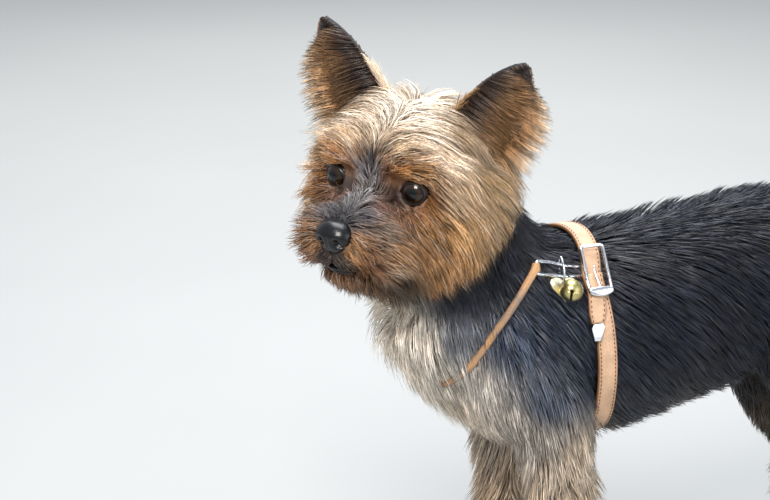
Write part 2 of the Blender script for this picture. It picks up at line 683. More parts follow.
class Ground:
    """The skin as something to find the nearest point and normal on, for many points at once."""

    def __init__(self, mesh):
        self.points = coordinates(mesh)
        mesh.calc_loop_triangles()
        corners = np.empty(len(mesh.loop_triangles) * 3, np.int32)
        mesh.loop_triangles.foreach_get("vertices", corners)
        self.triangles = corners.reshape(-1, 3)
        normals = np.empty(len(mesh.vertices) * 3)
        mesh.vertices.foreach_get("normal", normals)
        self.normals = normals.reshape(-1, 3)
        self.tree = BVHTree.FromPolygons(self.points.tolist(), self.triangles.tolist())

    def nearest(self, points):
        """The nearest places on the skin, with their normals."""
        near = np.empty_like(points)
        normals = np.empty_like(points)
        for i, point in enumerate(points):
            place, _, index, _ = self.tree.find_nearest(point)
            near[i] = place
            normals[i] = self.normals[self.triangles[index]].sum(0)
        return near, unit(normals)

    def scatter(self, count, density):
        """Random places on the skin, more of them where density is high, with their normals."""
        corners = self.points[self.triangles]
        crossed = np.cross(corners[:, 1] - corners[:, 0], corners[:, 2] - corners[:, 0])
        weights = np.linalg.norm(crossed, axis=1) * density(corners.mean(1))
        chosen = RANDOM.choice(len(weights), count, p=weights / weights.sum())
        u, v = RANDOM.random(count), RANDOM.random(count)
        folded = u + v > 1
        u, v = np.where(folded, 1 - u, u), np.where(folded, 1 - v, v)
        shares = np.stack([1 - u - v, u, v], 1)[:, :, None]
        places = (corners[chosen] * shares).sum(1)
        normals = (self.normals[self.triangles[chosen]] * shares).sum(1)
        return places, unit(normals)


def girth_x(z):
    """The girth strap's place along the body at a height."""
    heights = [height for _, height in GIRTH_PLACES]
    return np.interp(z, heights, [x for x, _ in GIRTH_PLACES])


def depth_limit(points, depth):
    """The coat's depth where the girth strap presses on it."""
    off = np.abs(points[:, 0] - girth_x(points[:, 2])) - GIRTH_HALF_WIDTH
    round_body = (points[:, 2] > 95) & (points[:, 0] < -20) & (points[:, 0] > -62)
    pressed = COAT_UNDER_GIRTH + np.clip(off - 1.0, 0, 30) * 0.8
    return np.where(round_body, np.minimum(depth, pressed), depth)


STEPS = 6


def trace(ground, roots, normals, spread):
    """Guide hairs that leave the skin at their roots and rise to the coat's depth as they follow its lie."""
    _, length, _ = combed(roots)
    length = length * RANDOM.uniform(0.85, 1.12, len(roots))
    fill = 1.1 - 0.6 * RANDOM.random(len(roots)) ** 2
    stray = RANDOM.normal(0, spread, (len(roots), 3))
    path = [roots - normals * 0.6]
    point, near, away = roots.copy(), roots, normals
    height = np.zeros(len(roots))
    for step in range(1, STEPS + 1):
        share = step / STEPS
        way, _, depth = combed(near)
        way = unit(way + stray * share)
        way = unit(way - away * (way * away).sum(1, keepdims=True))
        wanted = 0.4 + depth_limit(near, depth) * fill * share**0.75
        stride = length / STEPS
        onward = np.sqrt(np.maximum(stride**2 - (wanted - height) ** 2, (0.35 * stride) ** 2))
        near, away = ground.nearest(point + way * onward[:, None])
        point = near + away * wanted[:, None]
        point[:, 2] = np.maximum(point[:, 2], 1.0)
        height = wanted
        path.append(point)
    return np.stack(path, 1)


def sided(points):
    """Points with the two sides of the head and body held apart, so that a parting isn't bridged."""
    moved = points.copy()
    moved[:, 1] += np.clip(points[:, 1] * 3, -9.0, 9.0) * (1 - in_head(points))
    local = to_head(points)
    apart = np.clip(local[:, 1] * 3, -9.0, 9.0) * in_head(points)
    return moved + apart[:, None] * HEAD_AXES[:, 1]


def children(roots, normals, guides, guide_roots, clump, wave):
    """Hairs between the guides, drawn together in clumps towards their tips."""
    tree = KDTree(len(guide_roots))
    for i, place in enumerate(sided(guide_roots)):
        tree.insert(place, i)
    tree.balance()
    found = [tree.find_n(place, 3) for place in sided(roots)]
    index = np.array([[hit[1] for hit in hits] for hits in found])
    distance = np.array([[hit[2] for hit in hits] for hits in found])
    weights = 1 / (distance**2 + 0.5)
    weights /= weights.sum(1, keepdims=True)
    offsets = guides - guides[:, :1]
    shape = (offsets[index] * weights[:, :, None, None]).sum(1)
    stations = shape.shape[1]
    share = np.linspace(0, 1, stations)
    long = RANDOM.uniform(0.72, 1.08, len(roots))
    start = roots - normals * 0.6
    path = start[:, None] + shape * long[:, None, None]
    nearest = guides[index[:, 0]]
    pull = (clump * share**1.3)[None, :, None] * RANDOM.uniform(0.5, 1.0, (len(roots), 1, 1))
    path = path + (nearest - path) * pull
    phase = RANDOM.uniform(0, math.tau, (len(roots), 1))
    turns = RANDOM.uniform(1.5, 3.5, (len(roots), 1))
    swing = np.sin(phase + share[None] * turns) - np.sin(phase)
    sideways = unit(np.cross(normals, path[:, -1] - path[:, 0]))
    path = path + sideways[:, None] * (swing * wave * RANDOM.uniform(0.3, 1.0, (len(roots), 1)))[:, :, None]
    path[:, 1:, 2] = np.maximum(path[:, 1:, 2], 0.8)
    return path, index[:, 0]


def resampled(path, spans):
    """The paths with another number of spans."""
    wanted = np.linspace(0, path.shape[1] - 1, spans + 1)
    low = np.minimum(wanted.astype(int), path.shape[1] - 2)
    share = (wanted - low)[None, :, None]
    return path[:, low] * (1 - share) + path[:, low + 1] * share


CORNERS = ((-1.0, -0.3), (1.0, -0.3), (0.0, 0.62))


def tuft_mesh(name, path, normals, widths, colours, places):
    """One mesh of thin closed tufts: triangular sections that taper to a tip.

    colours holds one colour for each station of each tuft, and places the tufts' roots on the unwrap.
    """
    count, stations, _ = path.shape
    spans = stations - 1
    along = unit(np.gradient(path, axis=1))
    across = unit(np.cross(along, normals[:, None]))
    rise = np.cross(across, along)
    share = np.linspace(0, 1, stations)
    half = widths[:, None] * (1 - 0.75 * share**1.6)[None] / 2
    rings = [path + across * (half * a)[:, :, None] + rise * (half * b)[:, :, None] for a, b in CORNERS]
    body = np.stack(rings, 2)[:, :-1]
    vertices = np.concatenate([body.reshape(count, spans * 3, 3), path[:, -1:]], 1)
    faces = [(2, 1, 0)]
    for k in range(spans - 1):
        for i in range(3):
            j = (i + 1) % 3
            a, b, c, d = 3 * k + i, 3 * k + j, 3 * k + 3 + j, 3 * k + 3 + i
            faces += [(a, b, c), (a, c, d)]
    tip, last = 3 * spans, 3 * (spans - 1)
    faces += [(last + i, last + (i + 1) % 3, tip) for i in range(3)]
    faces = np.array(faces)
    each = spans * 3 + 1
    triangles = (faces[None] + np.arange(count)[:, None, None] * each).reshape(-1, 3)
    mesh = bpy.data.meshes.new(name)
    mesh.from_pydata(vertices.reshape(-1, 3), [], triangles)
    mesh.update()
    shades = np.concatenate([np.repeat(colours[:, :-1], 3, axis=1), colours[:, -1:]], 1)
    paint(mesh, shades.reshape(-1, 3))
    local = np.concatenate([
        np.stack([np.tile((0.0, 1.0, 0.5), spans), np.repeat(share[:-1], 3)], 1),
        np.array([[0.5, 1.0]]),
    ])
    corners = places[:, None] + (local[None] - 0.5) * 0.003
    layer = mesh.uv_layers.new(name="OFBake")
    layer.data.foreach_set("uv", corners.reshape(-1, 2)[triangles.ravel()].astype(np.float32).ravel())
    return mesh


def unwrap(points):
    """Places on an unwrap of the skin: the head by turn and height, the rest by length and turn."""
    local = to_head(points) - np.array((-20, 0, -8))
    turn = np.arctan2(local[:, 1], local[:, 0]) / math.tau + 0.5
    rise = np.arctan2(local[:, 2], np.hypot(local[:, 0], local[:, 1])) / math.pi + 0.5
    head = np.stack([0.01 + 0.48 * turn, 0.51 + 0.48 * rise], 1)
    round_body = np.arctan2(points[:, 1], points[:, 2] - 165) / math.tau + 0.5
    body = np.stack([0.51 + 0.48 * (points[:, 0] + 150) / 330, 0.51 + 0.48 * round_body], 1)
    legs = (points[:, 2] < 112) & (np.abs(points[:, 1]) > 9)
    hind = points[:, 0] > 0
    middle = np.where(hind, 113, -61)
    right = points[:, 1] > 0
    about = np.arctan2(points[:, 0] - middle, np.abs(points[:, 1]) - 30) / math.tau + 0.5
    column = 0.01 + 0.245 * (hind * 2 + right)
    leg = np.stack([column + 0.225 * about, 0.01 + 0.4 * points[:, 2] / 112], 1)
    chosen = np.where((in_head(points) > 0.5)[:, None], head, np.where(legs[:, None], leg, body))
    return np.clip(chosen, 0.003, 0.997)


def tinted(path, guide, streaks, contrast):
    """Colours along each hair: the marking where it lies, varied by clump and by hair."""
    count, stations, _ = path.shape
    colours = marking(path.reshape(-1, 3)).reshape(count, stations, 3)
    clumps = 1 + contrast * (np.random.default_rng(3).random(guide.max() + 1)[guide] - 0.5)
    hairs = 1 + contrast * (RANDOM.random(count) - 0.5)
    share = np.linspace(0, 1, stations)
    fade = 0.8 + 0.32 * share
    colours = colours * (clumps * hairs)[:, None, None] * fade[None, :, None]
    kind = RANDOM.random(count)
    pale = (kind < streaks * 1.6)[:, None, None]
    dark = (kind > 1 - streaks)[:, None, None]
    bright = colours.mean(2, keepdims=True)
    colours = np.where(pale, colours * 0.6 + (bright * 1.7 + 0.04) * np.array((0.50, 0.46, 0.41)), colours)
    return np.where(dark, colours * 0.45, colours)


def clear_of_face(points):
    """Where no hair grows: the eyes' openings, the nose and the mouth's crease."""
    local = to_head(points)
    bare = np.zeros(len(points), bool)
    for side in SIDES.values():
        along, across = beside(points, *eye_place(side))
        bare |= (across < 6.6) & (along > 0)
    nose = (local - np.array(NOSE_CENTRE)) / np.array((8.2, 10.2, 8.0))
    bare |= np.linalg.norm(nose, axis=1) < 1
    bare |= (np.abs(local[:, 2] - MOUTH_HEIGHT) < 1.2) & (local[:, 0] > 6)
    bare |= points[:, 2] < 2.5
    return ~bare


def clear_of_sight(path):
    """The hairs that stay out of each eye's view, ahead of it and across the bridge of the nose."""
    clear = np.ones(len(path), bool)
    for side in SIDES.values():
        centre, look = eye_place(side)
        for view, radius in ((look, 5.4), (head_way(0.75, side * 0.55, 0.37), 4.8)):
            along, across = beside(path, centre, view)
            clear &= ~((along > 3) & (along < 30) & (across < radius)).any(1)
    return clear


def region_of(points):
    """A number for each point: 0 head, 1 neck and breast, 2 torso, 3 legs, 4 paws, 5 tail."""
    head = in_head(points) > 0.5
    tail = (points[:, 0] - 132) * 0.75 + (points[:, 2] - 211) * 0.66 > 0
    paws = points[:, 2] < PAW_TOP
    legs = (points[:, 2] < LEG_TOP) & (np.abs(points[:, 1]) > 9)
    front = (points[:, 0] + 95) * 0.55 - (points[:, 2] - 196) * 0.835 < 0
    breast = (points[:, 0] < -92) & ~legs
    region = np.full(len(points), 2)
    region[legs] = 3
    region[front | breast] = 1
    region[paws] = 4
    region[tail] = 5
    region[head] = 0
    return region


# Tufts by region: how many, spans, width at the root, clumping, waviness, streaks, contrast, guides.
TUFTS = {
    "head": (0, 26500, 4, 0.54, 0.5, 1.8, 0.12, 0.6, 2600),
    "neck": (1, 9500, 3, 0.8, 0.45, 1.2, 0.08, 0.5, 900),
    "torso": (2, 21000, 3, 0.9, 0.3, 0.8, 0.06, 0.6, 2000),
    "legs": (3, 10500, 3, 0.85, 0.5, 1.4, 0.08, 0.45, 1200),
    "paws": (4, 3000, 2, 0.7, 0.2, 0.3, 0.05, 0.4, 500),
    "tail": (5, 1500, 4, 0.8, 0.45, 1.4, 0.08, 0.5, 200),
}
MOST_TRIANGLES = 190000


def add_coat(ground, material):
    """The coat, as joined meshes of tufts by region."""
    for name, settings in TUFTS.items():
        region, count, spans, width, clump, wave, streaks, contrast, guide_count = settings
        if not FINE:
            count //= 3
        here = lambda points: (region_of(points) == region) * clear_of_face(points) * 1.0
        guide_roots, guide_normals = ground.scatter(guide_count, here)
        guides = trace(ground, guide_roots, guide_normals, 0.06 if name == "head" else 0.08)
        roots, normals = ground.scatter(count, here)
        path, guide = children(roots, normals, guides, guide_roots, clump, wave)
        path = resampled(path, spans)
        seen = np.flatnonzero(clear_of_sight(path))
        widths = width * RANDOM.uniform(0.7, 1.25, count) * (1.0 if FINE else 1.6)
        colours = tinted(path, guide, streaks, contrast)
        places = unwrap(roots)
        each = 6 * (spans - 1) + 4
        parts = math.ceil(count * each / MOST_TRIANGLES)
        for part, chosen in enumerate(np.array_split(seen, parts)):
            piece = f"coat_{name}_{part + 1}"
            mesh = tuft_mesh(piece, *(values[chosen] for values in (path, normals, widths, colours, places)))
            finish_piece(new_object(piece, mesh), material)


# Ears


def ear_frame(side):
    """An ear's base, the ways along it, outward and ahead of its cup, and its length."""
    base = head_at(EAR_BASE[0], -side * EAR_BASE[1], EAR_BASE[2])
    forward, left, up = EAR_TIP[side]
    tip = head_at(forward, -side * left, up)
    axis = (tip - base).normalized()
    forward, lateral, up = EAR_FACING[side]
    facing = head_way(forward, -side * lateral, up)
    facing = (facing - axis * facing.dot(axis)).normalized()
    outward = axis.cross(facing) * (-side if (axis.cross(facing)).dot(head_way(0, 1, 0)) > 0 else side)
    return base, axis, outward.normalized(), facing, (tip - base).length


def ear_ways(side):
    """The ways along an ear, outward and ahead of its cup, for work on many points."""
    return [np.array(way) for way in ear_frame(side)[1:4]]


def ear_point(side, along, across):
    """A point on the ear's leather: along from base 0 to tip 1, across from inner edge -1 to outer 1."""
    base, axis, outward, facing, length = ear_frame(side)
    half = EAR_HALF_WIDTH * (1 - max(along, 0) ** 1.9) ** 0.8 * (0.86 + 0.5 * max(along, 0))
    cup = EAR_CUP * (1 - 0.95 * along)
    bulge = 1 + 0.18 * math.sin(math.pi * min(max(along, 0), 1)) if across > 0 else EAR_INNER_SHARE
    point = base + axis * (length * along) + outward * (half * across * bulge)
    return point - facing * (cup * (1 - across * across))


def add_ear(word, side, material):
    """The ear's leather, thin and cupped."""
    bm = bmesh.new()
    rows, columns = 28, 18
    alongs = [-0.2 + 1.175 * i / (rows - 1) for i in range(rows)]
    across = [-1 + 1.86 * j / columns for j in range(columns + 1)]
    grid = [[bm.verts.new(ear_point(side, a, c)) for c in across] for a in alongs]
    for low, high in zip(grid, grid[1:]):
        for j in range(columns):
            bm.faces.new((low[j], low[j + 1], high[j + 1], high[j]))
    ear = new_object(f"ear_leather_{word}", mesh_from(bm, "ear"))
    thick = ear.modifiers.new("thickness", "SOLIDIFY")
    thick.thickness = 1.3
    thick.offset = 0
    applied(ear)
    base, axis, _, _, length = ear_frame(side)
    along = beside(coordinates(ear.data), base, axis)[0] / length
    paint(ear.data, between((0.11, 0.066, 0.04), (0.02, 0.02, 0.024), eased(along, 0.35, 0.8)))
    finish_piece(ear, material, [f"ear_{word}"])


def ear_tufts(side, count, inside):
    """Paths, normals and colours of an ear's hair: the long fan inside it, or the velvet behind it."""
    axis, outward, facing = ear_ways(side)
    along = RANDOM.uniform(-0.12, 0.98, count)
    across = RANDOM.uniform(-1, 1, count)
    roots = np.array([ear_point(side, a, c) for a, c in zip(along, across)])
    rise = np.clip(along, 0, 1)
    if inside:
        way = outward * (0.95 - 0.2 * rise)[:, None] + axis * (1.25 * rise - 0.12)[:, None]
        reach = (31 - 15 * rise + 8 * (1 - eased(along, 0.0, 0.25))) * EAR_FAN[side]
        reach = reach * (1 - 0.32 * np.clip(across, 0, 1)) * (1 - 0.72 * eased(along, 0.66, 0.9))
        lift, normal = 0.3, facing
    else:
        way = axis * 0.95 + outward * (0.15 + 0.25 * across)[:, None]
        reach = 6.0 - 2.5 * eased(along, 0.5, 0.9)
        lift, normal = 0.1, -facing
    clumps = np.floor(along * 30) + 40 * np.floor(across * 3.5 + 4)
    sway = np.sin(clumps * 12.9) * 0.16
    way = unit(way + axis * sway[:, None] + RANDOM.normal(0, 0.045, (count, 3)))
    share = np.linspace(0, 1, STEPS + 1)
    reach = reach * RANDOM.uniform(0.75, 1.05, count)
    flat = way[:, None] * (reach[:, None] * share)[:, :, None]
    arch = np.sin(share * math.pi * 0.8) * lift
    path = roots[:, None] + flat + normal * (reach[:, None] * arch * 0.55)[:, :, None] + normal * 0.5
    path -= axis * (share**2)[None, :, None] * (4.0 + 12.0 * (1 - eased(along, -0.1, 0.22)))[:, None, None]
    out = (across[:, None] * 0.5 + 0.5) * 0.6 + share * 0.55
    colours = between(EAR_BROWN["root"], EAR_BROWN["middle"], eased(out, 0.2, 0.62))
    colours = between(colours, EAR_BROWN["tip"], eased(out, 0.66, 1.08))
    colours = between(colours, EAR_BROWN["foot"], (1 - eased(along, -0.1, 0.25))[:, None] * 0.7)
    own = np.modf(np.abs(np.sin(clumps * 78.2)) * 43.7)[0]
    shade = 0.42 + 1.1 * own * RANDOM.uniform(0.75, 1.25, count)
    colours = colours * np.clip(shade, 0.3, 1.5)[:, None, None]
    velvet = np.ones(count)
    if inside:
        velvet = eased(along, 0.60, 0.84) * (1 - 0.75 * eased(np.abs(across), 0.8, 1.0))
    colours = between(colours, EAR_VELVET, velvet[:, None] * 0.92)
    return path, np.broadcast_to(normal, (count, 3)), colours, roots


def edge_tuft(side, count):
    """The long tuft that stands at the foot of an ear's inner edge."""
    axis, outward, facing = ear_ways(side)
    along = RANDOM.uniform(-0.16, 0.5, count)
    roots = np.array([ear_point(side, a, c) for a, c in zip(along, RANDOM.uniform(-1.0, -0.6, count))])
    way = unit(axis * 0.9 - outward * 0.36 + facing * 0.16 + RANDOM.normal(0, 0.09, (count, 3)))
    share = np.linspace(0, 1, STEPS + 1)
    reach = RANDOM.uniform(12, 22, count) * EAR_EDGE_REACH[side] * (1 - 0.75 * eased(along, 0.1, 0.5))
    path = roots[:, None] + way[:, None] * (reach[:, None] * share)[:, :, None]
    path += outward * (3.0 * share**2)[None, :, None]
    shade = RANDOM.uniform(0.7, 1.15, count)[:, None, None] * (0.75 + 0.3 * share)[None, :, None]
    return path, np.broadcast_to(facing, (count, 3)), np.array(EAR_EDGE_COLOUR[side]) * shade, roots


def add_ear_coat(word, side, material):
    """One ear's hair: the fan inside, the velvet behind and the tuft at the inner edge."""
    path, normals, colours, roots = [
        np.concatenate(group)
        for group in zip(ear_tufts(side, 3900, True), ear_tufts(side, 1300, False), edge_tuft(side, 600))
    ]
    path = resampled(path, 3)
    widths = RANDOM.uniform(0.35, 0.7, len(path))
    local = to_head(roots) - np.array((-45, 0, 0))
    places = np.stack([0.3 + local[:, 1] * side * 0.0012, 0.45 + local[:, 2] * 0.0008], 1)
    shades = resampled(colours, 3)
    mesh = tuft_mesh(f"coat_ear_{word}", path, normals, widths, shades, np.clip(places, 0.003, 0.997))
    finish_piece(new_object(f"coat_ear_{word}", mesh), material)


# Materials


def new_material(name):
    """A material with its node tree and shader."""
    material = bpy.data.materials.new(name)
    material.use_nodes = True
    tree = material.node_tree
    shader = next(node for node in tree.nodes if node.type == "BSDF_PRINCIPLED")
    return material, tree, shader


def add_node(tree, kind, **inputs):
    """A node with the given values on its sockets, or links from other nodes' outputs."""
    node = tree.nodes.new(kind)
    for name, value in inputs.items():
        socket = node.inputs[name.replace("_", " ")]
        if isinstance(value, bpy.types.NodeSocket):
            tree.links.new(value, socket)
        else:
            socket.default_value = value
    return node


def painted_colour(tree):
    """The colour that paint stores on a piece."""
    colour = tree.nodes.new("ShaderNodeVertexColor")
    colour.layer_name = PAINTED
    return colour.outputs[0]


def set_shader(shader, **values):
    """Sets the shader's sockets to constant values."""
    for name, value in values.items():
        shader.inputs[name.replace("_", " ")].default_value = value


def mixed(tree, share, first, second, blend="MIX"):
    """A colour between two, by a share that may be a link."""
    node = tree.nodes.new("ShaderNodeMix")
    node.data_type = "RGBA"
    node.blend_type = blend
    for index, value in ((0, share), (6, first), (7, second)):
        if isinstance(value, bpy.types.NodeSocket):
            tree.links.new(value, node.inputs[index])
        elif index:
            node.inputs[index].default_value = (*value, 1)
        else:
            node.inputs[index].default_value = value
    return node.outputs[2]


def ramped(tree, factor, *stops):
    """Colours, or greys given as one number, by a factor."""
    node = tree.nodes.new("ShaderNodeValToRGB")
    tree.links.new(factor, node.inputs[0])
    elements = node.color_ramp.elements
    while len(elements) < len(stops):
        elements.new(0.5)
    for element, (place, colour) in zip(elements, stops):
        element.position = place
        element.color = (*colour, 1) if not isinstance(colour, float) else (colour, colour, colour, 1)
    return node.outputs[0]


def noise(tree, scale, detail=3.0, stretch=(1, 1, 1)):
    """Noise on the piece's own coordinates."""
    place = tree.nodes.new("ShaderNodeTexCoord")
    mapping = add_node(tree, "ShaderNodeMapping", Vector=place.outputs["Object"], Scale=stretch)
    node = add_node(tree, "ShaderNodeTexNoise", Vector=mapping.outputs[0], Scale=scale, Detail=detail)
    return node.outputs[0]


def bumped(tree, shader, height, strength, distance):
    """Fine relief from a height."""
    bump = add_node(tree, "ShaderNodeBump", Height=height, Strength=strength, Distance=distance)
    tree.links.new(bump.outputs[0], shader.inputs["Normal"])


def toned(tree, shader, colour, factor, *stops):
    """Gives the shader a colour, darker and lighter by a factor."""
    shade = ramped(tree, factor, *stops)
    tree.links.new(mixed(tree, 1.0, colour, shade, "MULTIPLY"), shader.inputs["Base Color"])


def coat_material(name, roughness, fine):
    """Hair in its painted colours, with a faint streak along it."""
    material, tree, shader = new_material(name)
    grain = noise(tree, fine, 2.0, (1, 1, 0.25))
    toned(tree, shader, painted_colour(tree), grain, (0.3, 0.72), (0.7, 1.18))
    set_shader(shader, Roughness=roughness, Specular_IOR_Level=0.5)
    return material


def skin_material():
    """Skin under the coat: the coat's colours, darker, with a fine short nap."""
    material, tree, shader = new_material("skin")
    grain = noise(tree, 900, 4.0, (1, 1, 0.3))
    toned(tree, shader, painted_colour(tree), grain, (0.3, 0.55), (0.75, 1.1))
    set_shader(shader, Roughness=0.62)
    bumped(tree, shader, grain, 0.6, 0.0004)
    return material


def plain_material(name, colour, roughness):
    """One colour all over, for claws and thread."""
    material, _, shader = new_material(name)
    set_shader(shader, Base_Color=(*colour, 1), Roughness=roughness)
    return material


# Face


def eye_material():
    """Dark brown iris round a black pupil, with a dark rim, under a wet cornea."""
    material, tree, shader = new_material("eye")
    place = tree.nodes.new("ShaderNodeTexCoord")
    parts = add_node(tree, "ShaderNodeSeparateXYZ", Vector=place.outputs["Object"])
    flat = add_node(tree, "ShaderNodeCombineXYZ", X=parts.outputs[0], Y=parts.outputs[1])
    radius = tree.nodes.new("ShaderNodeVectorMath")
    radius.operation = "LENGTH"
    tree.links.new(flat.outputs[0], radius.inputs[0])
    scaled = tree.nodes.new("ShaderNodeMath")
    scaled.operation = "MULTIPLY"
    scaled.inputs[1].default_value = 1 / (EYE_RADIUS * MM)
    tree.links.new(radius.outputs["Value"], scaled.inputs[0])
    rays = noise(tree, 2600, 3.0, (1, 1, 0.1))
    iris = ramped(
        tree, scaled.outputs[0],
        (0.34, (0.001, 0.001, 0.001)), (0.40, (0.012, 0.005, 0.002)), (0.56, (0.030, 0.013, 0.005)),
        (0.68, (0.006, 0.003, 0.002)), (0.74, (0.004, 0.003, 0.003)),
    )
    streaked = mixed(tree, 0.35, iris, ramped(tree, rays, (0.35, 0.35), (0.7, 1.3)), "MULTIPLY")
    tree.links.new(streaked, shader.inputs["Base Color"])
    set_shader(shader, Roughness=0.2, Specular_IOR_Level=0.15, Coat_Weight=0.6, Coat_Roughness=0.02)
    return material


def add_eye(word, side, material):
    """An eyeball with a slightly raised cornea, its own Z axis along its look."""
    centre, look = eye_place(side)
    bm = bmesh.new()
    bmesh.ops.create_uvsphere(bm, u_segments=48, v_segments=32, radius=EYE_RADIUS * MM)
    for vertex in bm.verts:
        share = vertex.co.z / (EYE_RADIUS * MM)
        vertex.co *= 1 + 0.02 * max(0, (share - 0.72) / 0.28) ** 0.8
    eye = new_object(f"eyeball_{word}", mesh_from(bm, "eyeball"))
    eye.data.materials.append(material)
    eye.data.shade_smooth()
    eye.matrix_world = Matrix.Translation(placed(centre)) @ look.to_track_quat("Z", "Y").to_matrix().to_4x4()
    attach(eye, "root")
    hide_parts(f"eye_{word}")


# A lid's section, from under its rim outward: how much wider than the opening, and height over the eyeball.
LID_PROFILE = (
    (-0.7, -1.2), (-0.2, 0.1), (0.1, 0.45), (0.5, 0.5), (1.0, 0.1), (1.6, -0.8), (2.4, -2.2), (3.2, -4.0),
)


def add_lids(word, side, material):
    """The lids' dark rims and their folds, round an almond opening."""
    centre, look = eye_place(side)
    up = (head_way(0, 0, 1) - look * head_way(0, 0, 1).dot(look)).normalized()
    outward = look.cross(up) if look.cross(up).dot(head_way(0, -side, 0)) > 0 else up.cross(look)
    bm = bmesh.new()
    rings = []
    count = 44
    for more, height in LID_PROFILE:
        ring = []
        for i in range(count):
            turn = math.tau * i / count
            c, s = math.cos(turn), math.sin(turn)
            inner_corner = max(-c, 0) ** 6
            wide = 6.3 + 1.3 * inner_corner + more
            tall = (5.4 if s > 0 else 5.0) + more
            x, y = wide * c, tall * s * (1 - 0.35 * inner_corner) - 1.3 * inner_corner
            off = min(math.hypot(x, y), EYE_RADIUS + 1.5)
            level = math.sqrt(max((EYE_RADIUS + height) ** 2 - off**2, 4.0))
            ring.append(centre + outward * x + up * y + look * level)
        rings.append(ring)
    add_loft(bm, rings, caps=False)
    lids = new_object(f"lids_{word}", mesh_from(bm, "lids"))
    order = np.repeat(np.arange(len(LID_PROFILE)), count)
    paint(lids.data, between((0.008, 0.007, 0.009), (0.07, 0.035, 0.02), eased(order, 2.5, 5.5)))
    finish_piece(lids, material)


def add_nose(material):
    """The nose leather: a rounded wedge with comma nostrils and a groove between them."""
    bm = bmesh.new()
    bmesh.ops.create_uvsphere(bm, u_segments=72, v_segments=48, radius=1)
    mesh = mesh_from(bm, "nose")
    p = unit(coordinates(mesh))
    local = np.stack([p[:, 0] * 7.4, p[:, 1] * 10.7, p[:, 2] * 8.6], 1)
    local[:, 1] *= 1 - 0.22 * eased(-p[:, 2], 0.1, 1.0)
    local[:, 0] += 1.2 * eased(p[:, 2], -0.6, 0.6) * (p[:, 0] > 0)
    front = eased(p[:, 0], 0.0, 0.5)
    for left in (-1, 1):
        y, z = local[:, 1] * left, local[:, 2]
        hole = np.exp(-(((y - 4.7) / 1.9) ** 2) - (((z + 0.8) / 2.1) ** 2))
        slit = np.exp(-(((z + 2.5 + 0.1 * (y - 4)) / 0.8) ** 2)) * eased(y, 4.6, 6.4)
        rim = np.exp(-(((y - 5.2) / 3.4) ** 2) - (((z - 0.2) / 3.5) ** 2))
        local[:, 0] += (1.1 * rim - 5.2 * hole - 2.2 * slit) * front
    groove = np.exp(-((local[:, 1] / 0.55) ** 2)) * eased(-local[:, 2], -3.5, -0.5)
    local[:, 0] -= 0.9 * groove * front
    points = (local + np.array(NOSE_CENTRE)) @ HEAD_AXES.T + HEAD_ZERO
    set_coordinates(mesh, points)
    finish_piece(new_object("nose_leather", mesh), material, ["nose"])


def nose_material():
    """Black moist leather with a fine pebbling."""
    material, tree, shader = new_material("nose")
    place = tree.nodes.new("ShaderNodeTexCoord")
    pebbles = add_node(tree, "ShaderNodeTexVoronoi", Vector=place.outputs["Object"], Scale=1500.0)
    bumped(tree, shader, pebbles.outputs[0], 0.35, 0.0002)
    set_shader(shader, Base_Color=(0.003, 0.003, 0.004, 1), Roughness=0.3, Specular_IOR_Level=0.3)
    set_shader(shader, Coat_Weight=0.25, Coat_Roughness=0.1)
    return material


def add_lips(material):
    """Dark lips along the mouth's line, upper and lower."""
    for name, front, up in (("upper_lip", 31.6, -33.8), ("lower_lip", 29.6, -35.7)):
        bm = bmesh.new()
        shares = [2 * i / 40 - 1 for i in range(41)]
        path = [head_at(front - 22 * abs(s) ** 2.2, s * 15.0, up - 1.6 * abs(s) ** 1.5) for s in shares]
        rings = []
        for i, (share, point) in enumerate(zip(shares, path)):
            ahead = (path[min(i + 1, 40)] - path[max(i - 1, 0)]).normalized()
            across = ahead.cross(head_way(0, 0, 1)).normalized()
            size = 1.2 * (1 - 0.6 * abs(share) ** 3)
            rings.append(ring_of(point, across, head_way(0, 0, 1), size * 1.2, size * 0.8, count=10))
        add_loft(bm, rings)
        finish_piece(new_object(name, mesh_from(bm, name)), material)


def add_claws(material):
    """A curved claw on each toe."""
    bm = bmesh.new()
    for side in SIDES.values():
        for place in PAWS:
            for toe in toes_of(place, side):
                rings = []
                for k in range(7):
                    share = k / 6
                    point = toe + Vector((-7.2 - 6 * share, 0, 0.6 - 3.6 * share**2))
                    size = 1.5 * (1 - 0.82 * share)
                    across, upward = Vector((0, 1, 0)), Vector((0, 0, 1))
                    rings.append(ring_of(point, across, upward, size * 0.8, size, count=10))
                add_loft(bm, rings)
    finish_piece(new_object("claws", mesh_from(bm, "claws")), material)


# Harness


